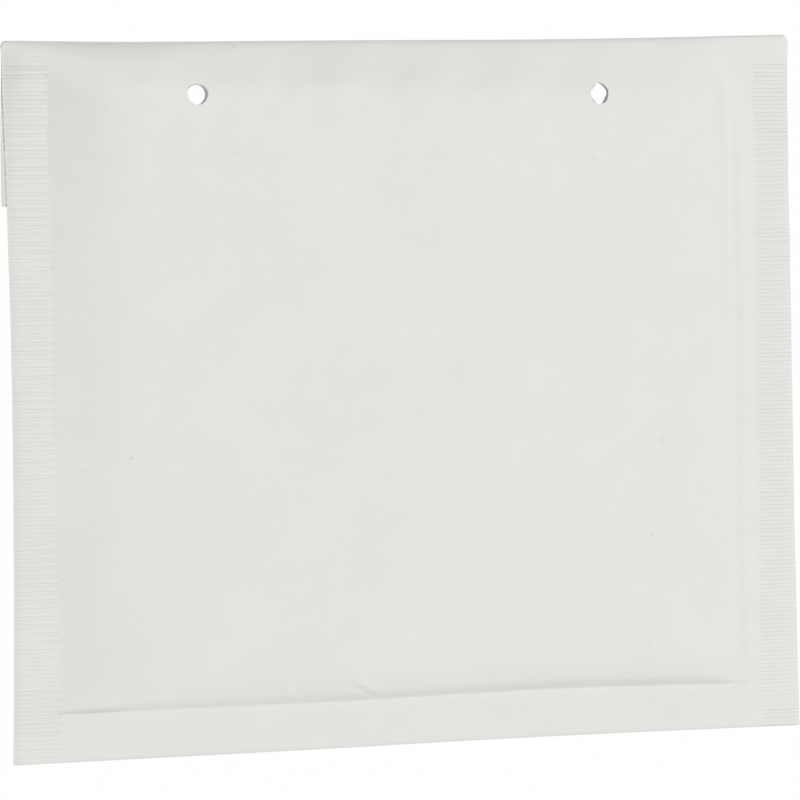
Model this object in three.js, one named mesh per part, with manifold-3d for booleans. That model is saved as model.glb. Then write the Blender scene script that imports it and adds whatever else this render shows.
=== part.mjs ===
// Padded mailing envelope, empty, lying face up with its flap folded shut underneath.
// Millimetres, +Z up. The origin is the middle of the rectangle it covers on the table,
// +Y points at the flap's fold and +X at the right-hand seam as the address face is read.
import * as THREE from 'three';
import { mergeVertices } from 'three/addons/utils/BufferGeometryUtils.js';
import Module from 'manifold-3d';

const wasm = await Module();
wasm.setup();

// Overall sizes
const WIDTH = 200;              // across both side seams
const HEIGHT = 175;             // bottom fold to flap fold
const PAD_THICKNESS = 8;        // the two bubble-lined walls, lying flat and empty
const PAD_CROWN = 0.5;          // how much fuller the middle of the front is

// Paper and flap
const PAPER = 0.3;              // flap and lip, one layer of kraft paper with its glue
const FLAP_LENGTH = 40;         // fold to free edge
const FOLD_RADIUS = 1.2;        // outside of the flap's fold
const FRONT_SLOPE = 27;         // degrees at which the front comes down to the fold
const FRONT_CROWN = 5.4;        // run in which that slope rounds over into the front
const MOUTH_FROM_FOLD = 5;      // where the back wall ends, under the flap
const MOUTH_EDGE = 0.4;         // lean of that cut edge
const FLAP_RAMP = 9;            // run in which the back rises to lie on the flap
const FLAP_MARGIN = 3;          // how far before the flap's free edge it is up

// Padding outline: each bank rises straight, then rounds over in its crown
const BOTTOM_STRIP = 12.2;      // flat folded paper below the padding
const BOTTOM_STRAIGHT = 1.4;
const BOTTOM_CROWN = 3.6;
const LEFT_STRAIGHT = 9.3;
const LEFT_CROWN = 14.7;
const RIGHT_MARGIN = 7;         // flat paper between the right ribs and the padding
const RIGHT_STRAIGHT = 3.6;
const RIGHT_CROWN = 11.8;
const LINING_LINE = 28.9;       // glue line of the lining, measured from the fold
const LINING_STEP = 0.15;       // how far the front drops at that line
const LINING_RUN = 0.8;         // width of that drop

// Crimped side seams
const LEFT_SEAM = 11;           // ribbed width at -X
const RIGHT_SEAM = 10;          // ribbed width at +X
const SEAM_THICKNESS = 0.5;     // paper, film, film and paper pressed together
const CRIMP_PITCH = 2;          // one rib and one groove
const CRIMP_DEPTH = 0.5;        // groove to rib
const SEAM_PULL_IN = 0.8;       // how far the padding draws each long edge inwards at its middle
const SEAM_DROOP = 80;          // length over which the seams come down to the fold
const SEAM_LAP = 0.5;           // how far the seam runs into the padding

// Fastener holes, punched through every layer
const HOLE_DIAMETER = 6;
const HOLE_SPACING = 101.4;
const HOLE_FROM_FOLD = 13.6;
const HOLE_SHIFT = -1.8;        // the pair sits a little left of the middle

// Peel-off strip over the flap's glue
const STRIP_WIDTH = 15;
const STRIP_FROM_EDGE = 0.6;    // from the flap's free edge
const STRIP_THICKNESS = 0.15;
const CLEARANCE = 0.3;          // left between pieces that lie on each other

// Facets
const FLANK_STEPS = 8;
const FACE_STEPS = 8;
const STEP_STEPS = 6;
const SLOPE_STEPS = 9;
const FOLD_STEPS = 8;
const HOLE_SIDES = 24;

// Places that follow from the sizes
const BOTTOM = -HEIGHT / 2;
const PAD_START = BOTTOM + BOTTOM_STRIP;
const PAD_FULL = PAD_START + BOTTOM_STRAIGHT + BOTTOM_CROWN;
const FOLD_TOP = HEIGHT / 2;
const FLAP_EDGE = FOLD_TOP - FLAP_LENGTH;
const RAMP_TOP = FLAP_EDGE - FLAP_MARGIN;
const RAMP_START = RAMP_TOP - FLAP_RAMP;
const MOUTH = FOLD_TOP - MOUTH_FROM_FOLD;
const LINING_Y = FOLD_TOP - LINING_LINE;
const SEAM_HALF = (SEAM_THICKNESS + CRIMP_DEPTH) / 2;
const PAD_LEFT = -WIDTH / 2 + LEFT_SEAM - SEAM_LAP;
const PAD_RIGHT = WIDTH / 2 - RIGHT_SEAM + SEAM_LAP;
const RIGHT_FOOT = PAD_RIGHT - RIGHT_MARGIN;
const LEFT_FULL = PAD_LEFT + LEFT_STRAIGHT + LEFT_CROWN;
const RIGHT_FULL = RIGHT_FOOT - RIGHT_STRAIGHT - RIGHT_CROWN;
const FLAP_LAYERS = PAPER + CLEARANCE + STRIP_THICKNESS + CLEARANCE;

// The fold turns from the front's slope to flat under the envelope
const FRONT_LEAN = THREE.MathUtils.degToRad(FRONT_SLOPE);
const FOLD_CENTRE = new THREE.Vector2(FOLD_TOP - FOLD_RADIUS, FOLD_RADIUS);
const FOLD_START = Math.PI / 2 - FRONT_LEAN;
const FOLD_END = -Math.PI / 2;
const FOLD_Y = FOLD_CENTRE.x + FOLD_RADIUS * Math.cos(FOLD_START);
const FOLD_Z = FOLD_CENTRE.y + FOLD_RADIUS * Math.sin(FOLD_START);
const FRONT_STRAIGHT = (PAD_THICKNESS - FOLD_Z) / Math.tan(FRONT_LEAN) - FRONT_CROWN / 2;
const SLOPE_TOP = FOLD_Y - FRONT_STRAIGHT - FRONT_CROWN;

const { lerp, smoothstep } = THREE.MathUtils;

function span(from, to, steps) {
  return Array.from({ length: steps + 1 }, (_, i) => lerp(from, to, i / steps));
}

// Share of the full padding height at a distance from the foot of a bank
function bank(distance, straight, crown) {
  const steepness = 1 / (straight + crown / 2);
  if (distance < straight) return steepness * Math.max(distance, 0);
  const toFull = Math.max(straight + crown - distance, 0);
  return 1 - steepness * toFull ** 2 / (2 * crown);
}

const bottomShare = (y) => bank(y - PAD_START, BOTTOM_STRAIGHT, BOTTOM_CROWN);
const topShare = (y) => bank(FOLD_Y - y, FRONT_STRAIGHT, FRONT_CROWN);

function flankShare(x) {
  const left = bank(x - PAD_LEFT, LEFT_STRAIGHT, LEFT_CROWN);
  const right = bank(RIGHT_FOOT - x, RIGHT_STRAIGHT, RIGHT_CROWN);
  return left * right;
}

// Height of the middle of the side seams: level, then down to the fold
function seamHeight(y) {
  return lerp(FOLD_Z - SEAM_HALF, PAD_THICKNESS / 2, smoothstep(FOLD_Y - y, 0, SEAM_DROOP));
}

// Half width of the outline where the padding draws the seams inwards
function outlineHalf(y) {
  return WIDTH / 2 - SEAM_PULL_IN * (1 - (2 * y / HEIGHT) ** 2);
}

function frontHeight(x, y) {
  const seam = seamHeight(y) + SEAM_HALF;
  const crown = PAD_CROWN * Math.cos(Math.PI * x / WIDTH) * Math.cos(Math.PI * y / HEIGHT);
  const drop = LINING_STEP * smoothstep(y, LINING_Y - LINING_RUN / 2, LINING_Y + LINING_RUN / 2);
  const rise = PAD_THICKNESS + crown - drop - seam;
  return seam + rise * bottomShare(y) * topShare(y) * flankShare(x);
}

// The back lies on the table, and on the flap and its strip near the fold
function backHeight(x, y) {
  const seam = seamHeight(y) - SEAM_HALF;
  const rest = FLAP_LAYERS * smoothstep(y, RAMP_START, RAMP_TOP);
  return seam - (seam - rest) * bottomShare(y) * flankShare(x);
}

// Closed solid through a row of sections, each with as many outer as inner points
function loft(sections) {
  const columns = sections[0].outer.length;
  const loop = 2 * columns;
  const points = sections.flatMap(({ outer, inner }) => [...outer, ...inner.toReversed()]);
  const last = (sections.length - 1) * loop;
  const index = [];
  for (let row = 0; row < last; row += loop) {
    for (let i = 0; i < loop; i++) {
      const a = row + i;
      const b = row + (i + 1) % loop;
      index.push(a, b, b + loop, a, b + loop, a + loop);
    }
  }
  for (let i = 0; i + 1 < columns; i++) {
    const [a, b, c, d] = [i, i + 1, loop - 2 - i, loop - 1 - i];
    index.push(a, c, b, a, d, c);
    index.push(last + a, last + b, last + c, last + a, last + c, last + d);
  }
  return new THREE.BufferGeometry().setFromPoints(points).setIndex(index);
}

function toSolid(geometry) {
  const bare = geometry.clone();
  bare.deleteAttribute('normal');
  bare.deleteAttribute('uv');
  const merged = mergeVertices(bare);
  return new wasm.Manifold(new wasm.Mesh({
    numProp: 3,
    vertProperties: new Float32Array(merged.attributes.position.array),
    triVerts: new Uint32Array(merged.index.array),
  }));
}

function toGeometry(solid) {
  const mesh = solid.getMesh();
  const geometry = new THREE.BufferGeometry();
  geometry.setAttribute('position', new THREE.BufferAttribute(mesh.vertProperties, 3));
  geometry.setIndex(new THREE.BufferAttribute(mesh.triVerts, 1));
  return geometry.toNonIndexed();
}

// Columns across the padding, closer together on its flanks
const COLUMNS = [
  ...span(PAD_LEFT, LEFT_FULL, FLANK_STEPS),
  ...span(LEFT_FULL, RIGHT_FULL, FACE_STEPS).slice(1, -1),
  ...span(RIGHT_FULL, RIGHT_FOOT, FLANK_STEPS),
  PAD_RIGHT,
];

// The same columns spread over the full width of the lip and flap
const WIDE_COLUMNS = COLUMNS.map((x) => WIDTH * ((x - PAD_LEFT) / (PAD_RIGHT - PAD_LEFT) - 0.5));

// Both walls at one height up the envelope
function bagSection(y) {
  return {
    outer: COLUMNS.map((x) => new THREE.Vector3(x, y, frontHeight(x, y))),
    inner: COLUMNS.map((x) => new THREE.Vector3(x, y, backHeight(x, y))),
  };
}

// Past the mouth only the front wall goes on, as wide as the flap
function lipSection(y) {
  const under = PAPER / Math.cos(FRONT_LEAN);
  return {
    outer: WIDE_COLUMNS.map((x) => new THREE.Vector3(x, y, frontHeight(x, y))),
    inner: WIDE_COLUMNS.map((x) => new THREE.Vector3(x, y, frontHeight(x, y) - under)),
  };
}

function foldSection(angle) {
  const at = (radius) => WIDE_COLUMNS.map((x) => new THREE.Vector3(
    x,
    FOLD_CENTRE.x + radius * Math.cos(angle),
    FOLD_CENTRE.y + radius * Math.sin(angle),
  ));
  return { outer: at(FOLD_RADIUS), inner: at(FOLD_RADIUS - PAPER) };
}

function flapEdgeSection() {
  return {
    outer: WIDE_COLUMNS.map((x) => new THREE.Vector3(x, FLAP_EDGE, 0)),
    inner: WIDE_COLUMNS.map((x) => new THREE.Vector3(x, FLAP_EDGE, PAPER)),
  };
}

// One folded sheet: bottom strip, padded walls, lip, fold and flap
function makeBag() {
  const liningEdges = [LINING_Y - LINING_RUN / 2, LINING_Y + LINING_RUN / 2];
  const rows = [
    BOTTOM,
    ...span(PAD_START, PAD_FULL, STEP_STEPS),
    ...span(PAD_FULL, RAMP_START, FACE_STEPS),
    ...span(RAMP_START, FLAP_EDGE, STEP_STEPS),
    ...liningEdges,
    ...span(SLOPE_TOP, MOUTH - MOUTH_EDGE, SLOPE_STEPS),
  ];
  const lipRows = span(MOUTH, FOLD_Y, 3).slice(0, -1);
  return loft([
    ...[...new Set(rows)].sort((a, b) => a - b).map(bagSection),
    ...lipRows.map(lipSection),
    ...span(FOLD_START, FOLD_END, FOLD_STEPS).map(foldSection),
    flapEdgeSection(),
  ]);
}

// Corrugated band from the bottom fold to just past the mouth, where its last half rib
// meets the lip; side is -1 for left and 1 for right
function makeSeam(side) {
  const reach = side < 0 ? LEFT_SEAM : RIGHT_SEAM;
  const inside = side * (WIDTH / 2 - reach);
  const halves = 2 * Math.floor((MOUTH - BOTTOM) / CRIMP_PITCH) + 1;
  const rows = span(BOTTOM, BOTTOM + halves * CRIMP_PITCH / 2, halves);
  return loft(rows.map((y, i) => {
    const middle = seamHeight(y) + (i % 2 ? 0.5 : -0.5) * CRIMP_DEPTH;
    const ends = [inside, side * outlineHalf(y)].sort((a, b) => a - b);
    return {
      outer: ends.map((x) => new THREE.Vector3(x, y, middle + SEAM_THICKNESS / 2)),
      inner: ends.map((x) => new THREE.Vector3(x, y, middle - SEAM_THICKNESS / 2)),
    };
  }));
}

function makeHole(side) {
  const punch = 4 * PAD_THICKNESS;
  const radius = HOLE_DIAMETER / 2 / Math.cos(Math.PI / HOLE_SIDES);
  const hole = new THREE.CylinderGeometry(radius, radius, punch, HOLE_SIDES);
  hole.rotateX(Math.PI / 2);
  hole.translate(HOLE_SHIFT + side * HOLE_SPACING / 2, FOLD_TOP - HOLE_FROM_FOLD, 0);
  return hole;
}

function makeEnvelope() {
  const sides = [-1, 1];
  let solid = toSolid(makeBag());
  for (const side of sides) solid = solid.add(toSolid(makeSeam(side)));
  for (const side of sides) solid = solid.subtract(toSolid(makeHole(side)));
  const paper = new THREE.MeshStandardMaterial({ color: '#e8e7e2', roughness: 0.85, metalness: 0 });
  const mesh = new THREE.Mesh(toGeometry(solid), paper);
  mesh.name = 'envelope';
  return mesh;
}

function makeReleaseStrip() {
  const silicone = new THREE.MeshStandardMaterial({ color: '#f1f0ea', roughness: 0.35, metalness: 0 });
  const strip = new THREE.Mesh(new THREE.BoxGeometry(WIDTH, STRIP_WIDTH, STRIP_THICKNESS), silicone);
  strip.name = 'release_strip';
  strip.position.set(
    0,
    FLAP_EDGE + STRIP_FROM_EDGE + STRIP_WIDTH / 2,
    PAPER + CLEARANCE + STRIP_THICKNESS / 2,
  );
  return strip;
}

const paddedEnvelope = new THREE.Group();
paddedEnvelope.add(makeEnvelope(), makeReleaseStrip());

export default paddedEnvelope;
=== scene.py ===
"""Dressed model of a padded mailing envelope: white kraft paper over bubble film, crimped at
both sides, lying face up with its flap folded shut underneath."""

import math

import bpy
from bpy.props import FloatProperty, FloatVectorProperty, PointerProperty
from bpy.types import Operator, Panel, PropertyGroup
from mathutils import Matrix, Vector, noise


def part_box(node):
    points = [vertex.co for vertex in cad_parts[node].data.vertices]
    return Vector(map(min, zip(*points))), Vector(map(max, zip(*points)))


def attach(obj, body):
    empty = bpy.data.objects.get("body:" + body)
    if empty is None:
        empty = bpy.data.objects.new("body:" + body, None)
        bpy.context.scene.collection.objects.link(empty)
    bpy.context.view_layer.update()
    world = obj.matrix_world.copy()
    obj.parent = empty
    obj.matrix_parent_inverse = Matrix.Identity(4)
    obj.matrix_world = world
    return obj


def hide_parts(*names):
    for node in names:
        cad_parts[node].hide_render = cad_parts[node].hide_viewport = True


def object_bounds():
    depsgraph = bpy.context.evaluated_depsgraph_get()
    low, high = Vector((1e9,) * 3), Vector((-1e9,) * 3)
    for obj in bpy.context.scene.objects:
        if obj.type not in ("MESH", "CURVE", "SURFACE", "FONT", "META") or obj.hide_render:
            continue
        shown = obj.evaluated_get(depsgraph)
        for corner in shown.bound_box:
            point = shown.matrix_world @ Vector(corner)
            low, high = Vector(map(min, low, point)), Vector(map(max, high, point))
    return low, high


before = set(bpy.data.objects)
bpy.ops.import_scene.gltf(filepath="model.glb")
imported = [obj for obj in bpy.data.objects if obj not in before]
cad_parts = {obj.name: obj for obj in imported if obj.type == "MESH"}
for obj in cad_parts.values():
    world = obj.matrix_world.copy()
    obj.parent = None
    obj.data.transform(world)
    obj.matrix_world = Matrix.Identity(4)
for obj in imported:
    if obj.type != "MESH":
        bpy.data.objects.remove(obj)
cad_low, cad_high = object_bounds()

bl_info = {
    "name": "Padded envelope",
    "version": (1, 0, 0),
    "blender": (4, 5, 0),
    "location": "3D View > Sidebar > Envelope",
    "description": "Makes a padded mailing envelope with crimped seams and a folded flap",
    "category": "Add Mesh",
}

MM = 0.001
STRIP_GAP = 0.03 * MM           # glue between the flap and its peel-off strip
BAG_SMOOTH = math.radians(50)   # steeper edges than this stay sharp
STRIP_SMOOTH = math.radians(40)

# Rows of the bag's mesh
ROWS_PER_PITCH = 12             # along the seams, for one deep and one shallow rib
CREASE_ROWS = 0.75              # step of the rows about the bottom crease, against the others
FIRST_ROWS = (0.0, 0.05 * MM, 0.13 * MM)
BOTTOM_ROUND = 0.25 * MM        # round of the bottom fold
LEAST_ROUND = 0.12              # least share of the thickness, at the fold itself

# Punches for the holes
HOLE_TAPER = 0.8 * MM           # from the front down to the torn film inside the holes
HOLE_ABOVE = 1.2 * MM           # how far a punch stands over the front
FILM_WALL = 1.3 * MM            # height of the torn film's edge
FRONT_SIZE = 0.97               # size of the rim, as a share of the hole
BACK_SIZE = 1.1                 # size of the opening at the back
BACK_SHIFT = (0.6 * MM, -0.4 * MM)
PUNCH_LOW = -2 * MM             # start of the back punch, under the table
PUNCH_SIDES = 48                # corners of a punch's outline
LAP = 0.1 * MM                  # how far one punch runs into the next

# Holes by side: shift and width of the rim, then shift, radius, width and torn chords of the film
HOLES = {
    -1: (-0.42 * MM, 0.88, (-0.62 * MM, -0.50 * MM), 2.44 * MM, 0.96, ((-38, 0.94), (186, 0.92))),
    1: (-0.43 * MM, 0.77, (-0.36 * MM, -0.25 * MM), 2.75 * MM, 0.80,
        ((62, 0.88), (38, 0.78), (-28, 0.74), (219, 0.74), (140, 0.76))),
}

# Stage
FLOOR_SIZE = 6.0
FLOOR_DROP = 0.1 * MM           # how far the floor lies under the envelope
LAMP_PLACE = (0.87, 0.12, 3.0)
LAMP_SIZE = 1.6
SENSOR = 36                     # width of the camera's sensor in millimetres

# Bark specks and faint soft spots of the paper: place, radius in millimetres, strength
SPECKS = (
    (-42.7, 85.7, 0.5, 0.65), (-70.6, -13.7, 0.5, 0.60), (-82.2, -16.8, 0.6, 0.30),
    (63.6, -13.3, 1.5, 0.14), (60.9, -36.8, 0.5, 0.42), (60.0, -64.1, 0.5, 0.42),
    (34.0, -83.7, 0.5, 0.30), (46.6, 57.2, 0.7, 0.20), (-6.8, -11.9, 0.6, 0.12),
    (-34.9, -5.9, 1.6, 0.05), (-37.7, -11.2, 1.4, 0.04), (-17.4, 39.6, 1.5, 0.05),
    (-40.7, 31.8, 1.8, 0.04), (-44.5, 23.8, 1.4, 0.05), (43.0, 9.8, 1.2, 0.07),
    (-44.2, -30.4, 1.6, 0.05), (-34.8, -33.1, 1.4, 0.04), (-28.8, -61.7, 1.6, 0.07),
    (3.1, -38.9, 1.2, 0.04), (39.2, -52.5, 1.1, 0.07), (75.1, -59.1, 1.2, 0.06),
)


# Settings

class EnvelopeSizes(PropertyGroup):
    """Sizes of the envelope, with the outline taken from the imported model."""

    width: FloatProperty(
        name="Width", description="Across both side seams",
        default=cad_high.x - cad_low.x, unit="LENGTH")
    height: FloatProperty(
        name="Height", description="Bottom fold to flap fold",
        default=cad_high.y - cad_low.y, unit="LENGTH")
    thickness: FloatProperty(
        name="Thickness", description="Both padded walls, lying empty",
        default=8 * MM, unit="LENGTH")
    crown: FloatProperty(
        name="Crown", description="How much fuller the middle of the front is",
        default=0.4 * MM, unit="LENGTH")
    paper: FloatProperty(
        name="Paper", description="Thickness of the lip and flap",
        default=0.3 * MM, unit="LENGTH")
    seam_thickness: FloatProperty(
        name="Seam thickness", description="All layers pressed together at the sides",
        default=0.5 * MM, unit="LENGTH")
    left_seam: FloatProperty(
        name="Left seam", description="Ribbed width at the left side",
        default=11 * MM, unit="LENGTH")
    right_seam: FloatProperty(
        name="Right seam", description="Ribbed width at the right side",
        default=10 * MM, unit="LENGTH")
    left_pull: FloatProperty(
        name="Left pull", description="How far the padding draws the left edge in",
        default=1.1 * MM, unit="LENGTH")
    right_pull: FloatProperty(
        name="Right pull", description="How far the padding draws the right edge in",
        default=0.7 * MM, unit="LENGTH")
    rib_pitch: FloatProperty(
        name="Rib pitch", description="One deep and one shallow rib of the crimp",
        default=2.015 * MM, unit="LENGTH")
    rib_depth: FloatProperty(
        name="Rib depth", description="Groove to rib of a rib at full depth",
        default=0.34 * MM, unit="LENGTH")
    bottom_strip: FloatProperty(
        name="Bottom strip", description="Flat folded paper below the padding",
        default=11.5 * MM, unit="LENGTH")
    flap: FloatProperty(
        name="Flap", description="Fold to free edge",
        default=40 * MM, unit="LENGTH")
    fold_radius: FloatProperty(
        name="Fold radius", description="Outside of the flap's fold",
        default=1.2 * MM, unit="LENGTH")
    mouth: FloatProperty(
        name="Mouth", description="From the fold to the end of the back wall",
        default=5 * MM, unit="LENGTH")
    hole: FloatProperty(
        name="Hole", description="Diameter of the fastener holes",
        default=6 * MM, unit="LENGTH")
    hole_spacing: FloatProperty(
        name="Hole spacing", description="Middle to middle",
        default=101.4 * MM, unit="LENGTH")
    hole_from_fold: FloatProperty(
        name="Hole from fold", description="Fold to the holes' middles",
        default=13.6 * MM, unit="LENGTH")
    hole_lean: FloatProperty(
        name="Hole lean", description="How much higher the left hole is, and lower the right one",
        default=0.5 * MM, unit="LENGTH")
    hole_shift: FloatProperty(
        name="Hole shift", description="How far the pair sits right of the middle",
        default=-1.8 * MM, unit="LENGTH")


class PaperFinish(PropertyGroup):
    """Colours of the two papers; the release strip's colour is darkened with painted shade."""

    paper: FloatVectorProperty(
        name="Paper", description="Bleached kraft paper",
        default=(0.777, 0.770, 0.740), subtype="COLOR", min=0, max=1)
    speck: FloatVectorProperty(
        name="Speck", description="Stray fibres and bark specks in the paper",
        default=(0.46, 0.45, 0.41), subtype="COLOR", min=0, max=1)
    # The release strip's own faint yellowish tint, darkened far below its near-white to paint the
    # shade that the seams cast over its exposed ends.
    release: FloatVectorProperty(
        name="Release strip", description="Silicone paper over the flap's glue",
        default=(0.62, 0.62, 0.55), subtype="COLOR", min=0, max=1)


class StageSettings(PropertyGroup):
    """Camera and light."""

    camera: FloatVectorProperty(
        name="Camera", description="Place of the camera",
        default=(-0.2414, 0.0583, 1.0008), subtype="TRANSLATION", unit="LENGTH")
    camera_turn: FloatVectorProperty(
        name="Camera turn", description="Turn of the camera as axis times angle, in radians",
        default=(-0.0565, -0.2355, -0.0212), subtype="XYZ")
    lens: FloatProperty(
        name="Lens", description="Focal length in millimetres on a 36 mm sensor",
        default=187.2)
    dome: FloatProperty(
        name="Dome", description="Strength of the even light from all sides",
        default=0.535)
    key: FloatProperty(
        name="Key", description="Power of the soft lamp from the right",
        default=51.0, unit="POWER")


# Form of the envelope

def clamp(share):
    return min(max(share, 0.0), 1.0)


def ease(share):
    """Smooth step from 0 to 1."""
    share = clamp(share)
    return share * share * (3 - 2 * share)


def rise(distance, foot, straight, crown):
    """Height share of a bank with a hollow foot, a straight run and a rounded crown."""
    steepness = 1 / (foot / 2 + straight + crown / 2)
    to_top = foot + straight + crown - distance
    if distance <= 0:
        return 0.0
    if distance < foot:
        return steepness * distance ** 2 / (2 * foot)
    if distance < foot + straight:
        return steepness * (distance - foot / 2)
    if to_top > 0:
        return 1 - steepness * to_top ** 2 / (2 * crown)
    return 1.0


def bulge(share):
    """Quarter ellipse from an upright start at 0 to level at 1."""
    share = clamp(share)
    return math.sqrt(1 - (1 - share) ** 2)


def bell(distance, width):
    return math.exp(-(distance / width) ** 2)


def wander(x, y, size, seed):
    """Smooth noise between about -1 and 1 with features of that size."""
    return noise.noise(Vector((x / size, y / size, seed)))


def bubble(x, y, pitch):
    """Height share of a field of bubbles in a hexagonal lattice."""
    row_step = pitch * math.sqrt(3) / 2
    row = round(y / row_step)
    best = pitch
    for near in (row - 1, row, row + 1):
        offset = pitch / 2 if near % 2 else 0.0
        column = round((x - offset) / pitch)
        distance = math.hypot(x - offset - column * pitch, y - near * row_step)
        best = min(best, distance)
    return clamp(1 - (best / (0.55 * pitch)) ** 2)


def segment_ridge(x, y, start, end, width):
    """Height share of a short soft crease between two points, tapering at both ends."""
    along = Vector(end) - Vector(start)
    share = (Vector((x, y)) - Vector(start)).dot(along) / along.length_squared
    if share < -0.3 or share > 1.3:
        return 0.0
    nearest = Vector(start) + along * clamp(share)
    distance = (Vector((x, y)) - nearest).length
    return bell(distance, width) * math.sin(math.pi * clamp(0.1 + 0.8 * share))


class EnvelopeForm:
    """Heights of the front and back of the envelope over the table, by place."""

    FOLD_SLOPE = math.radians(43)               # of the front where the fold's round begins
    LIP = (0.0, 10.6 * MM, 5.2 * MM)            # foot, straight and crown of the lip's bank
    LIP_SWELL = 1.3 * MM                        # how much fuller the padding is along the lip
    LEFT_FLANK = (0.0, 9.3 * MM, 14.7 * MM)
    RIGHT_FLANK = (1.5 * MM, 1.5 * MM, 3.0 * MM)
    RIGHT_CROWN = (0.5 * MM, 1 * MM, 19 * MM)   # soft swell over that flank
    RIGHT_SHARE = 0.4                           # how much of the height the flank takes
    STEP = (0.6 * MM, 1.0 * MM, 1.4 * MM)       # padding over the bottom strip
    STEP_CROWN = (0.4 * MM, 1 * MM, 7 * MM)     # soft swell over that step
    STEP_SHARE = 0.22                           # how much of the height the step takes
    STRIP_SHARE = 0.17                          # how much the bottom strip rises to the step
    STRIP_BANK = (3 * MM, 5 * MM, 2.5 * MM)
    MARGIN = (0.5 * MM, 1.6 * MM, 0.6 * MM)     # paper that stands up beside the right ribs
    MARGIN_HEIGHT = 0.45 * MM
    MARGIN_LOW = -74 * MM                       # ends of that paper
    MARGIN_HIGH = 72 * MM
    MARGIN_RIDGE = 0.30 * MM                    # soft ridge along its top
    MARGIN_RIDGE_WIDTH = 1.2 * MM
    RIGHT_VALLEY = 6.3 * MM                     # from the right ribs to the padding's foot
    EDGE = 1.5 * MM                             # border of the seams that is pressed thinner
    EDGE_PRESS = 0.28 * MM
    SEAM_DROOP = 80 * MM                        # length over which the seams come down to the fold
    LINING_LINE = 28.7 * MM                     # glue line of the lining, from the fold
    LINING_DEPTH = 0.30 * MM
    LINING_WIDTH = 0.6 * MM
    LINING_SAG = 0.8 * MM
    FLAP_LIFT = 1.05 * MM                       # flap, its strip and their slack under the back
    FLAP_END_GAP = 0.05 * MM                    # between the flap's sprung ends and the seams
    STRIP_ROOM = 0.17 * MM                      # how much lower those ends are under the strip
    STRIP_END = 19.5 * MM                       # where they come down to it, from the free edge
    FLAP_TUCK = 0.40 * MM                       # how far each end is drawn in beside the fold
    FLAP_LEFT = 0.22 * MM                       # how far the free edge sticks out on the left
    FLAP_RIGHT = -1.0 * MM                      # on the right it stays back behind the seam
    BUBBLE_PITCH = 11.3 * MM
    FOLD_BOW = 0.55 * MM                        # how far the padding draws the fold in
    FOLD_WAVE = 0.10 * MM
    LEFT_LEAN = 0.3 * MM                        # how much further in each edge lies at the fold
    RIGHT_LEAN = 0.5 * MM
    BOTTOM_BOW = 0.3 * MM
    BOTTOM_LEAN = 0.32 * MM                     # how much lower the left half of the bottom fold is
    CORNER = 1.2 * MM                           # round of the corners at the fold
    LEFT_FIRST_RIB = 4.3 * MM                   # first groove, from the fold
    RIGHT_FIRST_RIB = 7.5 * MM
    RIB_DROP = 0.25                             # share of a rib that its steep side takes
    RIB_LIFT = 0.3                              # keeps the ribs' mean level on the seam
    LEFT_RIBS = (0.93, 0.27)                    # depth share of every other rib, and between
    RIGHT_RIBS = (0.95, 0.53)
    CREASE_DEPTH = 0.12 * MM
    CREASE_END_DEPTH = 0.24 * MM                # how much deeper the crease is at both ends
    CREASE_END_WIDTH = 8 * MM
    CREASE_WIDTH = 0.75 * MM
    CREASE_PAST_LEFT = 6.5 * MM                 # how far it runs into the left ribs
    CREASE_PAST_RIGHT = 4.4 * MM                # and past the padding on the right
    CREASE_FADE = 4 * MM
    PAD_CORNERS = (                             # fuller padding: height, place and width
        (1.4 * MM, -81 * MM, 8 * MM),
        (0.5 * MM, 80 * MM, 6 * MM),
    )
    PAD_BANK = (0.2 * MM, 0.7 * MM, 1.0 * MM)
    PAD_FADE = 4 * MM                           # height over which it fades
    PUCKERS = (                                 # height, both ends and width
        (0.28 * MM, (-17 * MM, -69.6 * MM), (-9.5 * MM, -73.9 * MM), 0.8 * MM),
        (0.22 * MM, (-34 * MM, -69.5 * MM), (-32 * MM, -74.3 * MM), 0.9 * MM),
        (-0.18 * MM, (-17.5 * MM, -71.4 * MM), (-10 * MM, -74.9 * MM), 0.7 * MM),
        (-0.16 * MM, (-31.5 * MM, -71 * MM), (-28.5 * MM, -74.5 * MM), 0.9 * MM),
    )
    PUCKER_REACH = (-1 * MM, 9 * MM)            # below and above the crease
    WAVES = (                                   # slow unevenness: height, size and seed
        (0.16 * MM, 42 * MM, 0.5),
        (0.05 * MM, 16 * MM, 9.5),
    )

    def __init__(self, sizes):
        self.s = sizes
        self.half = sizes.width / 2
        self.bottom = -sizes.height / 2
        self.top = sizes.height / 2
        self.step = self.bottom + sizes.bottom_strip
        self.flap_edge = self.top - sizes.flap
        self.mouth = self.top - sizes.mouth
        self.lining_y = self.top - self.LINING_LINE
        self.left_ribs = -self.half + sizes.left_seam
        self.right_ribs = self.half - sizes.right_seam
        self.right_pad = self.right_ribs - self.RIGHT_VALLEY
        self.fold_y = self.top - sizes.fold_radius
        self.fold_start = math.pi / 2 - self.FOLD_SLOPE
        self.slope_end = self.fold_y + sizes.fold_radius * math.cos(self.fold_start)
        self.slope_z = sizes.fold_radius * (1 + math.sin(self.fold_start))

    def seam_height(self, y):
        """Middle of the pressed side seams: level, then down to the fold."""
        low = self.slope_z - self.s.seam_thickness / 2
        level = self.s.thickness / 2
        return low + (level - low) * ease((self.slope_end - y) / self.SEAM_DROOP)

    def outline_shift(self, x, y):
        """How far a point of the seam is drawn inwards by the padding."""
        pull = self.s.left_pull if x < 0 else self.s.right_pull
        lean = self.LEFT_LEAN if x < 0 else self.RIGHT_LEAN
        bow = 1 - (y / self.top) ** 2
        waver = 0.10 * MM * wander(x, y, 14 * MM, 5.0) * clamp(4 * bow)
        drawn = pull * bow + lean * y / self.top + waver
        amount = drawn * ease((abs(x) - 0.85 * self.half) / (0.15 * self.half))
        return amount if x < 0 else -amount

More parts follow.
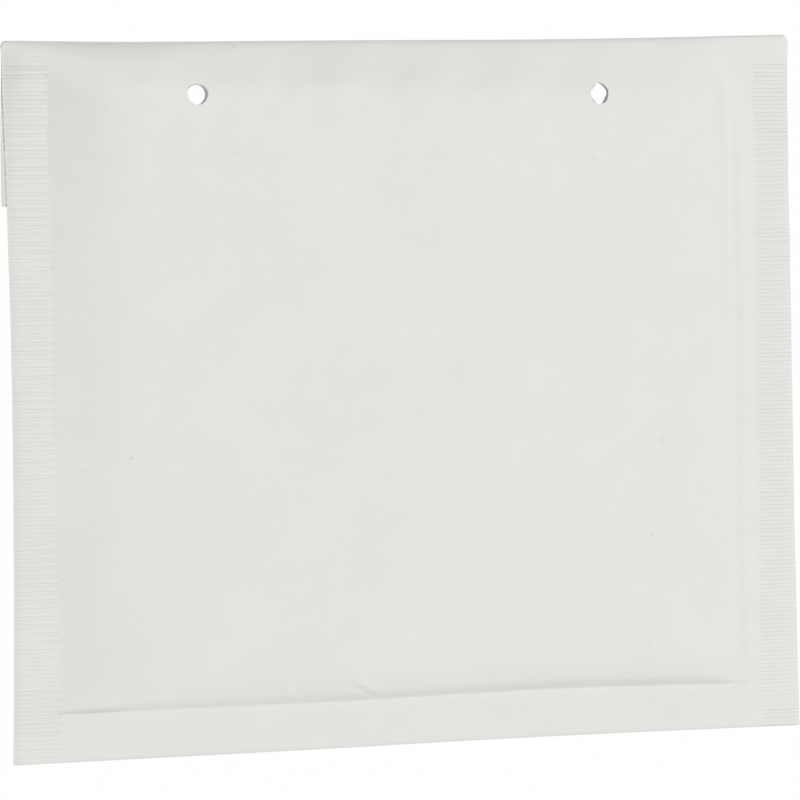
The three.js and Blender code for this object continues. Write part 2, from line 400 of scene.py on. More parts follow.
    def bottom_shift(self, x, y):
        """How far a point near the bottom fold lies off a straight, level line."""
        bow = self.BOTTOM_BOW * (1 - (x / self.half) ** 2)
        lean = self.BOTTOM_LEAN * math.tanh(x / (0.3 * self.half))
        return (bow + lean) * clamp(1 - (y - self.bottom) / (0.85 * self.s.bottom_strip))

    def step_drift(self, x):
        """How far the crease above the bottom strip wanders off its level."""
        return 0.85 * MM * bell(x - 35 * MM, 38 * MM) + 0.10 * MM * wander(x, 0, 9 * MM, 1.5)

    def step_follow(self, y):
        """Share by which a row of the mesh follows the crease."""
        return ease(1 - abs(y - self.step) / (9 * MM))

    def above_step(self, x, y):
        return y - self.step - self.step_drift(x)

    def seam_border(self, x):
        """Share by which a place lies on the pressed border of a seam."""
        return ease((abs(x) - self.half) / self.EDGE + 1)

    def pressed_edge(self, x, y):
        """How much thinner one wall of a seam is pressed along its cut edge."""
        return self.EDGE_PRESS * self.seam_border(x) * ease((self.slope_end - y) / (3 * MM))

    def flank(self, x):
        """Height share of the padding between the two seams."""
        left = rise(x - self.left_ribs, *self.LEFT_FLANK)
        left *= 1 - 0.12 * ease((-x - 15 * MM) / (55 * MM))
        inside = self.right_pad - x
        right = self.RIGHT_SHARE * rise(inside, *self.RIGHT_FLANK)
        right += (1 - self.RIGHT_SHARE) * rise(inside, *self.RIGHT_CROWN)
        return left * right

    def bottom_share(self, x, y):
        """Height share of the padding above the bottom fold: strip, step and soft swell."""
        above = self.above_step(x, y)
        longer = 1 + 0.6 * bell(x + 50 * MM, 35 * MM)
        strip = self.STRIP_SHARE * rise(above + sum(self.STRIP_BANK), *self.STRIP_BANK)
        tight = self.STEP_SHARE * rise(above, *self.STEP)
        soft = 1 - self.STEP_SHARE - self.STRIP_SHARE
        return strip + tight + soft * rise(above / longer, *self.STEP_CROWN)

    def top_share(self, x, y):
        """Straight bank of the lip, whose crown follows the cut edge of the bubbles."""
        down = self.slope_end - y
        scallop = math.cos(math.pi * (x + 7.4 * MM) / self.BUBBLE_PITCH)
        scallop *= 0.4 + 0.6 * ease((x + 50 * MM) / (30 * MM))
        ragged = 0.9 * MM * scallop + 1.0 * MM * wander(x, 0, 6 * MM, 8.3)
        longer = 1 + 0.14 * math.tanh(x / (60 * MM))
        return rise((down - ragged * clamp(down / self.LIP[1])) / longer, *self.LIP)

    def lip_roll(self, x, y):
        """How the lip stands up out of the fold before its straight bank, most at its left end."""
        down = max(self.slope_end - y, 0)
        even = 0.5 * MM * (1 - math.exp(-down / (0.9 * MM))) * (1 - rise(down, *self.LIP))
        near = bell(x + 82 * MM, 24 * MM) * (1 - 0.8 * ease((abs(x) - self.half) / (5 * MM) + 1))
        wide = 4.2 * MM * near * (1 - math.exp(-down / (4.6 * MM))) * bell(down, 16 * MM)
        return even + wide

    def ribs(self, x, y):
        """Height of the crimp, zero outside the seams: even below, loose and creased near the fold."""
        depth = self.s.rib_depth
        if x < 0:
            reach = self.left_ribs - x + 0.5 * MM * wander(0, y, 5 * MM, 2.5)
            first = self.top - self.LEFT_FIRST_RIB
            sizes = self.LEFT_RIBS
            fade = 0.7 * MM
            loose = ease((y - 0.5 * self.top) / (0.4 * self.top))
        else:
            reach = x - self.right_ribs - 0.5 * MM * wander(0, y, 5 * MM, 7.5)
            first = self.top - self.RIGHT_FIRST_RIB
            sizes = self.RIGHT_RIBS
            fade = 1.8 * MM
            loose = 0.7 * ease((y - 0.6 * self.top) / (0.3 * self.top))
        present = ease(reach / fade + 0.5) * ease((first - y + 1.0 * MM) / (0.8 * MM))
        if present == 0:
            return 0.0
        turns = 2 * (first - y) / self.s.rib_pitch + self.RIB_DROP / 2
        turn = turns % 1.0
        if turn < self.RIB_DROP:
            fall = ease(turn / self.RIB_DROP)
        else:
            fall = 1 - ((turn - self.RIB_DROP) / (1 - self.RIB_DROP)) ** 2
        profile = self.RIB_LIFT - sizes[math.floor(turns) % 2] * fall
        uneven = 1 + (0.4 + 0.5 * loose) * wander(x / 8, y, 1.9 * MM, 115.854)
        border = 1 - 0.25 * self.seam_border(x)
        return depth * (1 + 0.4 * loose) * uneven * profile * present * border

    def crease(self, x, y):
        """Tight crease where the padding meets the bottom strip, deepest at both ends."""
        left = ease((x - self.left_ribs + self.CREASE_PAST_LEFT) / self.CREASE_FADE)
        right = ease((self.right_pad + self.CREASE_PAST_RIGHT - x) / self.CREASE_FADE)
        ends = bell(x - self.left_ribs - 3 * MM, self.CREASE_END_WIDTH)
        ends += bell(x - self.right_pad + 1 * MM, self.CREASE_END_WIDTH)
        depth = (self.CREASE_DEPTH + self.CREASE_END_DEPTH * ends) * left * right
        return depth * bell(self.above_step(x, y) + 0.1 * MM, self.CREASE_WIDTH)

    def pad_corners(self, x, y):
        """The padding stands fuller over both ends of the crease."""
        above = self.above_step(x, y)
        ends = sum(height * bell(x - place, width) for height, place, width in self.PAD_CORNERS)
        return ends * rise(above, *self.PAD_BANK) * math.exp(-max(above, 0) / self.PAD_FADE)

    def dents(self, x, y):
        """Small puckers that run into the bottom crease."""
        low, high = self.PUCKER_REACH
        if not low < self.above_step(x, y) < high:
            return 0.0
        return sum(height * segment_ridge(x, y, *place) for height, *place in self.PUCKERS)

    def lining_mark(self, x, y):
        """Broken mark of the lining's glue line."""
        line = self.lining_y - 0.01 * x - self.LINING_SAG * bell(x + 8 * MM, 30 * MM)
        broken = clamp(0.6 + 1.1 * wander(x, 0, 8 * MM, 4.5) - 0.004 * (x / MM))
        return self.LINING_DEPTH * bell(y - line, self.LINING_WIDTH) * broken

    def right_margin(self, x, y):
        """Paper between the right ribs and the padding: a low bank with a soft ridge along its top."""
        if x < 0:
            return 0.0
        present = ease((y - self.MARGIN_LOW) / (10 * MM)) * ease((self.MARGIN_HIGH - y) / (16 * MM))
        line = 0.25 * MM * wander(0, y, 25 * MM, 6.5)
        bank = self.MARGIN_HEIGHT * rise(self.right_ribs - x - 0.3 * MM + line, *self.MARGIN)
        ridge = bell(x - self.right_pad - 2.4 * MM + line, self.MARGIN_RIDGE_WIDTH)
        return (bank * (1 - self.flank(x)) + self.MARGIN_RIDGE * ridge) * present

    def relief(self, x, y):
        """Soft unevenness of the padded paper, with the bubbles showing through near the lip."""
        slow = sum(height * wander(x, y, size, seed) for height, size, seed in self.WAVES)
        upper = ease((y - self.top + 24 * MM) / (8 * MM))
        small = 0.15 * MM * wander(x, y, 6 * MM, 10.5) * upper
        cells = bubble(x + 3 * MM, y, self.BUBBLE_PITCH)
        return slow + small + (0.02 + 0.22 * upper) * MM * (cells - 0.5)

    def front(self, x, y):
        """Height of the front: seam, lip and margin, then the padding and its fine forms."""
        base = self.seam_height(y) + self.s.seam_thickness / 2
        crown = self.s.crown * math.cos(math.pi * x / self.s.width)
        crown *= math.cos(math.pi * y / self.s.height)
        share = self.bottom_share(x, y) * self.top_share(x, y) * self.flank(x)
        height = base + self.lip_roll(x, y) + self.right_margin(x, y)
        along_lip = bell(self.slope_end - y - 15 * MM, 24 * MM)
        crown += self.LIP_SWELL * along_lip * (1 - 1.2 * ease((x - 25 * MM) / (40 * MM)))
        height += (self.s.thickness + crown + self.relief(x, y) - base) * share
        height += self.ribs(x, y) + self.dents(x, y) + self.pad_corners(x, y)
        return height - self.crease(x, y) - self.lining_mark(x, y) - self.pressed_edge(x, y)

    def back(self, x, y):
        """Height of the back: padding down to the table, or to the flap where that lies under it."""
        base = self.seam_height(y) - self.s.seam_thickness / 2
        rest = self.FLAP_LIFT * ease((y - self.flap_edge + 12 * MM) / (9 * MM))
        share = self.bottom_share(x, y) * self.flank(x)
        uneven = 0.10 * MM * (1 + wander(x, y, 30 * MM, 12.5))
        uneven *= 1 - 0.6 * bubble(x, y, self.BUBBLE_PITCH)
        pressed = 1 - 0.85 * ease((y - self.flap_edge + 4 * MM) / (4 * MM))
        height = base - (base - rest - uneven) * share + self.ribs(x, y) * pressed
        height += self.pressed_edge(x, y) / 2
        return max(height, 0.02 * MM)

    def fold_back(self, x):
        """How far the fold lies back from a straight line: drawn in, and rounded at its corners."""
        bow = self.FOLD_BOW * (1 - (x / self.half) ** 2)
        wave = self.FOLD_WAVE * (1 - math.cos(2 * math.pi * (x / self.half + 0.15) / 1.14))
        past = clamp((abs(x) - self.half + self.CORNER) / self.CORNER)
        corner = self.CORNER * (1 - math.sqrt(1 - past * past))
        return bow + wave * clamp(4 * (1 - abs(x) / self.half)) + corner

    def flap_share(self, y):
        """Share of the way from the fold to the flap's free edge."""
        return (self.fold_y - y) / (self.fold_y - self.flap_edge)

    def flap_stretch(self, x, share):
        """How far a point of the flap is moved along the fold."""
        reach = self.FLAP_LEFT if x < 0 else self.FLAP_RIGHT
        return (reach * share - self.FLAP_TUCK * (1 - share) ** 2) * x / self.half

    def flap_height(self, x, y):
        """Outer face of the flap over the table: barely off it, with both ends sprung up."""
        share = self.flap_share(y)
        waver = 0.12 * MM * (1 + wander(x, y, 26 * MM, 14.5)) * ease(4 * share)
        seam = self.seam_height(y) - self.s.seam_thickness / 2
        gap = self.FLAP_END_GAP + 0.15 * self.pressed_edge(x, y)
        gap += self.STRIP_ROOM * ease((self.flap_edge + self.STRIP_END - y) / (3 * MM))
        spring = max(seam - gap - self.s.paper - waver, 0)
        return waver + spring * ease((abs(x) / self.half - 0.72) / 0.26) * ease(4 * share)


# Mesh of the envelope

def spread(start, end, steps):
    return [start + (end - start) * i / steps for i in range(steps)]


def column_places(form):
    """Places across the envelope, with the first and last one of the padded middle.

    Each section has its start and its count of steps, which is even, so that the back can use
    every second place."""
    half = form.half
    left_seam = ((-half, 4), (-half + form.CORNER, 4), (form.left_ribs - 1 * MM, 6))
    middle = ((form.left_ribs + 2 * MM, 24), (-0.6 * half, 46), (-0.05 * half, 36),
              (0.66 * half, 16), (form.right_pad - 1 * MM, 10))
    right_seam = ((form.right_ribs - 1.4 * MM, 6), (form.right_ribs + 1.2 * MM, 4),
                  (half - form.CORNER, 4))
    sections = left_seam + middle + right_seam
    ends = [start for start, _ in sections[1:]] + [half]
    places = []
    for (start, steps), end in zip(sections, ends):
        places += spread(start, end, steps)
    first = sum(steps for _, steps in left_seam)
    last = first + sum(steps for _, steps in middle)
    return places + [half], first, last


def row_places(form):
    """Places up the bag, each with whether its row runs right across or only along the seams."""
    fine = form.s.rib_pitch / ROWS_PER_PITCH
    places = [(form.bottom + offset, True) for offset in FIRST_ROWS]
    y = form.bottom + BOTTOM_ROUND
    while y < form.mouth - 0.4 * MM:
        creased = -1.8 * MM < y - form.step < 4.6 * MM
        marked = -2.8 * MM < y - form.lining_y < 2.0 * MM
        every = 2 if marked else 8
        places.append((y, creased or len(places) % every == 0))
        y += CREASE_ROWS * fine if creased else fine
    places[-1] = (places[-1][0], True)
    return places


def bag_rows(form):
    """Front and back points of the two walls, from the bottom fold up to the mouth."""
    columns, first, last = column_places(form)
    rows = []
    for level, across in row_places(form):
        rounding = max(bulge((level - form.bottom) / BOTTOM_ROUND), LEAST_ROUND)
        front, back = {}, {}
        for i, x in enumerate(columns):
            if first < i < last and not across:
                continue
            y = level + form.step_drift(x) * form.step_follow(level)
            place_x = x + form.outline_shift(x, y)
            place_y = y + form.bottom_shift(x, y)
            middle = form.seam_height(y) + form.ribs(x, y)
            front[i] = (place_x, place_y, middle + (form.front(x, y) - middle) * rounding)
            if i % 2 == 0:
                back[i] = (place_x, place_y, middle + (form.back(x, y) - middle) * rounding)
        rows.append((front, back))
    return rows


def lip_rows(form):
    """Front wall past the mouth, one layer of paper, down the slope to the fold."""
    columns, _, _ = column_places(form)
    under = form.s.paper / math.cos(form.FOLD_SLOPE)
    rows = []
    for share in spread(0, 1, 22):
        y = form.mouth + (form.slope_end - form.mouth) * share * (1.6 - 0.6 * share)
        front, back = {}, {}
        for i, x in enumerate(columns):
            place_x = x + form.outline_shift(x, y)
            place_y = y - form.fold_back(x) * share
            height = form.front(x, y)
            front[i] = (place_x, place_y, height)
            if i % 2 == 0:
                back[i] = (place_x, place_y, height - under)
        rows.append((front, back))
    return rows


def fold_rows(form):
    """Round of the fold, from the slope of the front to flat on the table."""
    columns, _, _ = column_places(form)
    outer = form.s.fold_radius
    inner = outer - form.s.paper
    rows = []
    for angle in spread(form.fold_start, -math.pi / 2, 14):
        tucked = ease((form.fold_start - angle) / (form.fold_start + math.pi / 2))
        front, back = {}, {}
        for i, x in enumerate(columns):
            place_x = x + form.outline_shift(x, form.slope_end)
            place_x -= form.FLAP_TUCK * tucked * x / form.half
            lie = form.fold_y - form.fold_back(x)
            front[i] = (place_x, lie + outer * math.cos(angle), outer + outer * math.sin(angle))
            if i % 2 == 0:
                back[i] = (place_x, lie + inner * math.cos(angle), outer + inner * math.sin(angle))
        rows.append((front, back))
    return rows


def flap_rows(form):
    """Flap from the fold to its free edge."""
    columns, _, _ = column_places(form)
    rows = []
    for y in spread(form.fold_y, form.flap_edge, 16) + [form.flap_edge]:
        share = form.flap_share(y)
        front, back = {}, {}
        for i, x in enumerate(columns):
            place_x = x + form.outline_shift(x, form.slope_end) * (1 - ease(2 * share))
            place_x += form.flap_stretch(x, share)
            place_y = y - form.fold_back(x) * (1 - share)
            height = form.flap_height(x, y)
            front[i] = (place_x, place_y, height)
            if i % 2 == 0:
                back[i] = (place_x, place_y, height + form.s.paper)
        rows.append((front, back))
    return rows


def close_skin(rows):
    """Vertices and faces of a closed skin through rows of front and back points.

    Rows that only run along the seams leave the wide faces between them in one piece."""
    points, numbers = [], []
    for front, back in rows:
        ring = {}
        for side, places in (("front", front), ("back", back)):
            for column, point in places.items():
                ring[side, column] = len(points)
                points.append(point)
        numbers.append(ring)
    across = [i for i, ring in enumerate(numbers) if len(ring) == len(numbers[0])]
    stations = [("front", i) for i in rows[0][0]] + [("back", i) for i in reversed(rows[0][1])]
    everywhere = set.intersection(*(set(ring) for ring in numbers))

    faces = []
    for here, there in zip(stations, stations[1:] + stations[:1]):
        whole = here in everywhere and there in everywhere
        levels = range(len(rows)) if whole else across
        for low, high in zip(levels, levels[1:]):
            rows_up = [numbers[i][there] for i in range(low, high + 1) if there in numbers[i]]
            rows_down = [numbers[i][here] for i in range(high, low - 1, -1) if here in numbers[i]]
            faces.append(rows_down[-1:] + rows_up + rows_down[:-1])
    for ring, turned in ((numbers[0], True), (numbers[-1], False)):
        for column in list(rows[0][1])[:-1]:
            face = [ring["front", column + i] for i in range(3)]
            face += [ring["back", column + 2], ring["back", column]]
            faces.append(face[::-1] if turned else face)
    return points, faces


# Helpers for objects and materials

def deselect_all():
    if bpy.context.object and bpy.context.object.mode != "OBJECT":
        bpy.ops.object.mode_set(mode="OBJECT")
    bpy.ops.object.select_all(action="DESELECT")


def make_active(piece):
    deselect_all()
    piece.select_set(True)
    bpy.context.view_layer.objects.active = piece


def cut(piece, cutter):
    """Takes the cutter's volume out of the piece, and the cutter out of the scene."""
    make_active(piece)
    punch = piece.modifiers.new("punch", "BOOLEAN")
    punch.operation = "DIFFERENCE"
    punch.solver = "MANIFOLD"
    punch.object = cutter
    bpy.ops.object.modifier_apply(modifier=punch.name)
    bpy.data.objects.remove(cutter)


def split_into_triangles(piece):
    """Leaves only flat faces, so that a cut through them stays clean."""
    make_active(piece)
    split = piece.modifiers.new("split", "TRIANGULATE")
    bpy.ops.object.modifier_apply(modifier=split.name)


def dress(piece, material):
    """Gives every face of the piece that one material."""
    piece.data.materials.clear()
    piece.data.materials.append(material)
    for face in piece.data.polygons:
        face.material_index = 0


def new_material(name):
    material = bpy.data.materials.new(name)
    material.use_nodes = True
    tree = material.node_tree
    tree.nodes.clear()
    return material, tree


def add_node(tree, kind, place, **values):
    """Node of that kind, with its properties and its unlinked inputs set by name."""
    node = tree.nodes.new(kind)
    node.location = place
    for name, value in values.items():
        if hasattr(node, name):
            setattr(node, name, value)
        else:
            node.inputs[name.replace("_", " ").title()].default_value = value
    return node


def colour_socket(sockets, name):
    """The colour socket of that name on a mix node, which has others of the same name."""
    return next(socket for socket in sockets if socket.name == name and socket.type == "RGBA")


def make_kraft_paper(finish):
    """Bleached kraft paper: cloudy formation, fibres, stray specks and a felt-like surface."""
    material, tree = new_material("kraft_paper")
    link = tree.links.new
    place = add_node(tree, "ShaderNodeTexCoord", (-1500, 0))
    cloud = add_node(tree, "ShaderNodeTexNoise", (-1250, 350), scale=55.0, detail=5.0, roughness=0.62)
    lay = add_node(tree, "ShaderNodeMapping", (-1350, 50), scale=(420.0, 1500.0, 900.0))
    fibre = add_node(tree, "ShaderNodeTexNoise", (-1150, 50), scale=1.0, detail=4.0, roughness=0.7)
    flat = add_node(tree, "ShaderNodeMapping", (-1450, -300), scale=(1.0, 1.0, 0.0))
    felt = add_node(tree, "ShaderNodeTexNoise", (-1150, -650), scale=1100.0, detail=6.0, roughness=0.6)
    for texture in (cloud, flat, felt, lay):
        link(place.outputs["Object"], texture.inputs["Vector"])
    link(lay.outputs["Vector"], fibre.inputs["Vector"])

    light = Vector(finish.paper)
    tone = add_node(tree, "ShaderNodeValToRGB", (-950, 350))
    tone.color_ramp.elements[0].position = 0.30
    tone.color_ramp.elements[0].color = (*(light * 0.982), 1)
    tone.color_ramp.elements[1].position = 0.70
    tone.color_ramp.elements[1].color = (*(light * 1.012), 1)
    link(cloud.outputs["Fac"], tone.inputs["Fac"])

    strands = add_node(
        tree, "ShaderNodeMapRange", (-950, 50), from_min=0.3, from_max=0.7, to_min=0.988, to_max=1.008)
    link(fibre.outputs["Fac"], strands.inputs["Value"])
    grain = add_node(tree, "ShaderNodeMix", (-650, 250), data_type="RGBA", blend_type="MULTIPLY")
    grain.inputs["Factor"].default_value = 1.0
    link(tone.outputs["Color"], colour_socket(grain.inputs, "A"))
    link(strands.outputs["Result"], colour_socket(grain.inputs, "B"))

    spotted = None
    for row, (x, y, radius, strength) in enumerate(SPECKS):
        level = -300 - 60 * row
        away = add_node(tree, "ShaderNodeVectorMath", (-1250, level), operation="DISTANCE")
        away.inputs[1].default_value = (x * MM, y * MM, 0)
        link(flat.outputs["Vector"], away.inputs[0])
        dot = add_node(
            tree, "ShaderNodeMapRange", (-1050, level), interpolation_type="SMOOTHSTEP",
            from_max=radius * MM, to_min=strength, to_max=0.0)
        link(away.outputs["Value"], dot.inputs["Value"])
        if spotted is None:
            spotted = dot.outputs["Result"]
            continue
        most = add_node(tree, "ShaderNodeMath", (-850, level), operation="MAXIMUM")
        link(spotted, most.inputs[0])
        link(dot.outputs["Result"], most.inputs[1])
        spotted = most.outputs["Value"]
    colour = add_node(tree, "ShaderNodeMix", (-400, 200), data_type="RGBA")
    colour_socket(colour.inputs, "B").default_value = (*finish.speck, 1)
    link(spotted, colour.inputs["Factor"])
    link(colour_socket(grain.outputs, "Result"), colour_socket(colour.inputs, "A"))

    bump = add_node(tree, "ShaderNodeBump", (-400, -500), strength=0.35, distance=0.03 * MM)
    link(felt.outputs["Fac"], bump.inputs["Height"])
    dull = add_node(tree, "ShaderNodeMapRange", (-400, -200), to_min=0.74, to_max=0.90)
    link(felt.outputs["Fac"], dull.inputs["Value"])

    surface = add_node(tree, "ShaderNodeBsdfPrincipled", (-100, 100))
    surface.inputs["Specular IOR Level"].default_value = 0.22
    link(colour_socket(colour.outputs, "Result"), surface.inputs["Base Color"])
    link(dull.outputs["Result"], surface.inputs["Roughness"])
    link(bump.outputs["Normal"], surface.inputs["Normal"])
    output = add_node(tree, "ShaderNodeOutputMaterial", (250, 100))
    link(surface.outputs["BSDF"], output.inputs["Surface"])
    return material


def make_release_paper(finish):
    """Silicone-coated paper: even, glossy, with a faint lengthwise calender grain, in a colour
    darkened with painted shade.
    """
    material, tree = new_material("release_paper")
    link = tree.links.new
    place = add_node(tree, "ShaderNodeTexCoord", (-1100, 0))
    lay = add_node(tree, "ShaderNodeMapping", (-900, 0), scale=(60.0, 900.0, 900.0))
    link(place.outputs["Object"], lay.inputs["Vector"])
    grain = add_node(tree, "ShaderNodeTexNoise", (-700, 0), scale=1.0, detail=4.0)
    link(lay.outputs["Vector"], grain.inputs["Vector"])
    # The strip's colour: its own faint yellowish tint, darkened with painted shade for the seams'
    # shadow over its ends.
    shade = Vector(finish.release)
    tone = add_node(tree, "ShaderNodeValToRGB", (-450, 100))
    tone.color_ramp.elements[0].color = (*(shade * 0.96), 1)
    tone.color_ramp.elements[1].color = (*(shade * 1.02), 1)
    link(grain.outputs["Fac"], tone.inputs["Fac"])
    shine = add_node(tree, "ShaderNodeMapRange", (-450, -200), to_min=0.25, to_max=0.38)
    link(grain.outputs["Fac"], shine.inputs["Value"])
    surface = add_node(tree, "ShaderNodeBsdfPrincipled", (-100, 0))
    link(tone.outputs["Color"], surface.inputs["Base Color"])
    link(shine.outputs["Result"], surface.inputs["Roughness"])
    output = add_node(tree, "ShaderNodeOutputMaterial", (250, 0))
    link(surface.outputs["BSDF"], output.inputs["Surface"])
    return material


def make_floor_finish():
    """White seen by the camera, and a plain grey floor that takes shadows for the rest."""
    material, tree = new_material("white_floor")
    link = tree.links.new
    rays = add_node(tree, "ShaderNodeLightPath", (-900, 200))
    first = add_node(tree, "ShaderNodeMath", (-650, 200), operation="MAXIMUM")
    link(rays.outputs["Is Camera Ray"], first.inputs[0])
    link(rays.outputs["Is Glossy Ray"], first.inputs[1])
    second = add_node(tree, "ShaderNodeMath", (-450, 200), operation="MAXIMUM")
    link(first.outputs["Value"], second.inputs[0])
    link(rays.outputs["Is Transmission Ray"], second.inputs[1])
    share = add_node(tree, "ShaderNodeMath", (-250, 200), operation="MULTIPLY")
    share.inputs[1].default_value = 0.99
    link(second.outputs["Value"], share.inputs[0])
    pale = add_node(tree, "ShaderNodeBsdfDiffuse", (-250, 0))
    pale.inputs["Color"].default_value = (0.55, 0.55, 0.55, 1)
    glow = add_node(tree, "ShaderNodeEmission", (-250, -150))
    glow.inputs["Strength"].default_value = 1.0
    mixed = add_node(tree, "ShaderNodeMixShader", (0, 100))
    link(share.outputs["Value"], mixed.inputs["Fac"])
    link(pale.outputs["BSDF"], mixed.inputs[1])
    link(glow.outputs["Emission"], mixed.inputs[2])
    output = add_node(tree, "ShaderNodeOutputMaterial", (250, 100))
    link(mixed.outputs["Shader"], output.inputs["Surface"])
    return material


# Holes

def hole_outline(x, y, radius, width=1.0, chords=()):
    """Points round a hole that is narrowed across and cut straight along its torn chords."""
    points = []
    for step in range(PUNCH_SIDES):
        angle = 2 * math.pi * step / PUNCH_SIDES
        place = Vector((width * radius * math.cos(angle), radius * math.sin(angle)))
        for degrees, reach in chords:
            chord = math.radians(degrees)
            outwards = Vector((math.cos(chord), math.sin(chord)))
            past = place.dot(outwards) - reach * radius
            place -= outwards * max(past, 0)
        points.append(Vector((x, y)) + place)
    return points


def add_punch(name, rings):
    """Closed upright punch through outlines, each with its height, from the bottom up."""
    vertices = [(*point, height) for outline, height in rings for point in outline]
    faces = [tuple(reversed(range(PUNCH_SIDES)))]
    for low in range(0, len(vertices) - PUNCH_SIDES, PUNCH_SIDES):
        for step in range(PUNCH_SIDES):
            here = low + step
            after = low + (step + 1) % PUNCH_SIDES
            faces.append((here, after, after + PUNCH_SIDES))
            faces.append((here, after + PUNCH_SIDES, here + PUNCH_SIDES))
    faces.append(tuple(range(len(vertices) - PUNCH_SIDES, len(vertices))))
    mesh = bpy.data.meshes.new(name)
    mesh.from_pydata(vertices, [], faces)
    punch = bpy.data.objects.new(name, mesh)
    bpy.context.collection.objects.link(punch)
    return punch


def punch_holes(piece, form):
    """Each hole narrows from the front to the torn film and is wider and offset at the back."""
    sizes = form.s
    radius = sizes.hole / 2
    split_into_triangles(piece)
    for side, (shift, width, offset, film_radius, film_width, chords) in HOLES.items():
        x = sizes.hole_shift + side * sizes.hole_spacing / 2
        y = form.top - sizes.hole_from_fold - side * sizes.hole_lean
        front = form.front(x, y)
        film = front - HOLE_TAPER
        inside = film - FILM_WALL
        rim = hole_outline(x + shift, y, FRONT_SIZE * radius, width)
        ragged = hole_outline(x + offset[0], y + offset[1], film_radius, film_width, chords)
        widening = 1 + HOLE_ABOVE / HOLE_TAPER
        over = [inner + (outer - inner) * widening for inner, outer in zip(ragged, rim)]
        rings = ((ragged, inside), (ragged, film), (over, front + HOLE_ABOVE))
        cut(piece, add_punch("punch_front", rings))
        back = hole_outline(x + BACK_SHIFT[0], y + BACK_SHIFT[1], BACK_SIZE * radius)
        cut(piece, add_punch("punch_back", ((back, PUNCH_LOW), (back, inside + LAP))))


# Operators

class ENVELOPE_OT_bag(Operator):
    """Make the paper bag with its crimped seams, fold, flap and holes"""

    bl_idname = "envelope.bag"
    bl_label = "Make the envelope"

    def execute(self, context):
        deselect_all()
        form = EnvelopeForm(context.scene.envelope_sizes)
        rows = bag_rows(form) + lip_rows(form) + fold_rows(form) + flap_rows(form)
        points, faces = close_skin(rows)
        mesh = bpy.data.meshes.new("paper_bag")
        mesh.from_pydata(points, [], faces)
        mesh.validate()
        bag = bpy.data.objects.new("paper_bag", mesh)
        context.collection.objects.link(bag)
        punch_holes(bag, form)
        make_active(bag)
        bpy.ops.object.shade_smooth_by_angle(angle=BAG_SMOOTH)
        dress(bag, make_kraft_paper(context.scene.envelope_finish))
        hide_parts("envelope")
        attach(bag, "root")
        return {"FINISHED"}


class ENVELOPE_OT_release_strip(Operator):
    """Make the peel-off strip over the flap's glue, bent as the flap is"""

    bl_idname = "envelope.release_strip"
    bl_label = "Make the release strip"

    def execute(self, context):
        form = EnvelopeForm(context.scene.envelope_sizes)
        low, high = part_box("release_strip")
        middle = (low + high) / 2
        deselect_all()
        bpy.ops.mesh.primitive_grid_add(
            x_subdivisions=200, y_subdivisions=6, size=1, location=(middle.x, middle.y, 0))
        strip = context.object
        strip.name = "peel_strip"
        strip.scale = (high.x - low.x, high.y - low.y, 1)
        bpy.ops.object.transform_apply(location=True, rotation=True, scale=True)
        for vertex in strip.data.vertices:
            x, y, _ = vertex.co
            vertex.co.x += form.flap_stretch(x, form.flap_share(y))
            vertex.co.z = form.flap_height(x, y) + form.s.paper + STRIP_GAP
        paper = strip.modifiers.new("paper", "SOLIDIFY")
        paper.thickness = high.z - low.z
        paper.offset = 1
        bpy.ops.object.modifier_apply(modifier=paper.name)
        bpy.ops.object.shade_smooth_by_angle(angle=STRIP_SMOOTH)
        dress(strip, make_release_paper(context.scene.envelope_finish))
        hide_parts("release_strip")
        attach(strip, "root")
        return {"FINISHED"}


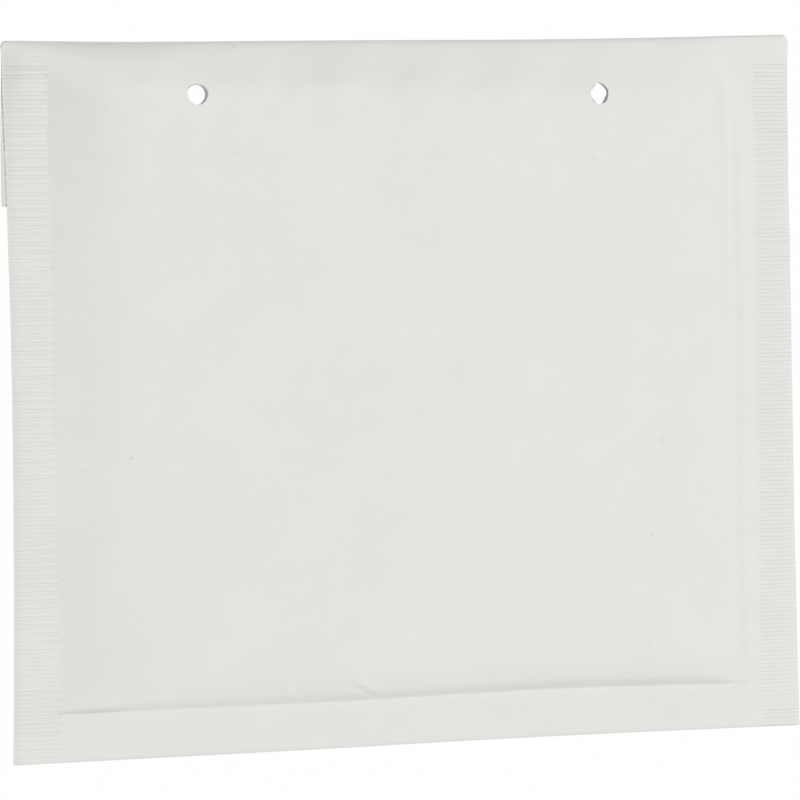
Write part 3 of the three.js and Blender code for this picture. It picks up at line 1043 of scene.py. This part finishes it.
class ENVELOPE_OT_stage(Operator):
    """Set the floor, the light and the camera"""

    bl_idname = "envelope.stage"
    bl_label = "Set the stage"

    def execute(self, context):
        settings = context.scene.envelope_stage
        deselect_all()
        bpy.ops.mesh.primitive_plane_add(size=FLOOR_SIZE, location=(0, 0, -FLOOR_DROP))
        floor = context.object
        floor.name = "floor"
        dress(floor, make_floor_finish())

        bpy.ops.object.light_add(type="AREA", location=LAMP_PLACE)
        key = context.object
        key.name = "key_light"
        key.data.energy = settings.key
        key.data.size = LAMP_SIZE
        key.rotation_euler = (-key.location).to_track_quat("-Z", "Y").to_euler()

        world = bpy.data.worlds.new("even_light")
        world.use_nodes = True
        tree = world.node_tree
        background = tree.nodes["Background"]
        rays = add_node(tree, "ShaderNodeLightPath", (-700, 0))
        white = add_node(tree, "ShaderNodeMapRange", (-400, 0), to_min=settings.dome, to_max=1.0)
        tree.links.new(rays.outputs["Is Camera Ray"], white.inputs["Value"])
        tree.links.new(white.outputs["Result"], background.inputs["Strength"])
        background.inputs["Color"].default_value = (1, 1, 1, 1)
        context.scene.world = world

        camera_data = bpy.data.cameras.new("camera")
        camera_data.lens = settings.lens
        camera_data.sensor_width = SENSOR
        camera_data.clip_end = 20
        camera = bpy.data.objects.new("camera", camera_data)
        context.collection.objects.link(camera)
        turn = Vector(settings.camera_turn)
        camera.location = settings.camera
        camera.rotation_mode = "AXIS_ANGLE"
        camera.rotation_axis_angle = (turn.length, *turn.normalized())
        context.scene.camera = camera
        context.scene.view_settings.view_transform = "Standard"
        return {"FINISHED"}


class ENVELOPE_PT_panel(Panel):
    bl_idname = "ENVELOPE_PT_panel"
    bl_label = "Padded envelope"
    bl_space_type = "VIEW_3D"
    bl_region_type = "UI"
    bl_category = "Envelope"

    def draw(self, context):
        scene = context.scene
        for group in (scene.envelope_sizes, scene.envelope_finish, scene.envelope_stage):
            box = self.layout.box()
            for name in group.__annotations__:
                box.prop(group, name)
        for operator in OPERATORS:
            self.layout.operator(operator.bl_idname)


OPERATORS = (ENVELOPE_OT_bag, ENVELOPE_OT_release_strip, ENVELOPE_OT_stage)
GROUPS = {
    "envelope_sizes": EnvelopeSizes,
    "envelope_finish": PaperFinish,
    "envelope_stage": StageSettings,
}


def register():
    for cls in (*GROUPS.values(), *OPERATORS, ENVELOPE_PT_panel):
        bpy.utils.register_class(cls)
    for name, group in GROUPS.items():
        setattr(bpy.types.Scene, name, PointerProperty(type=group))


def unregister():
    for name in GROUPS:
        delattr(bpy.types.Scene, name)
    for cls in (ENVELOPE_PT_panel, *reversed(OPERATORS), *reversed(GROUPS.values())):
        bpy.utils.unregister_class(cls)


def main():
    register()
    deselect_all()
    bpy.ops.envelope.bag()
    bpy.ops.envelope.release_strip()
    bpy.ops.envelope.stage()


if __name__ == "__main__":
    main()
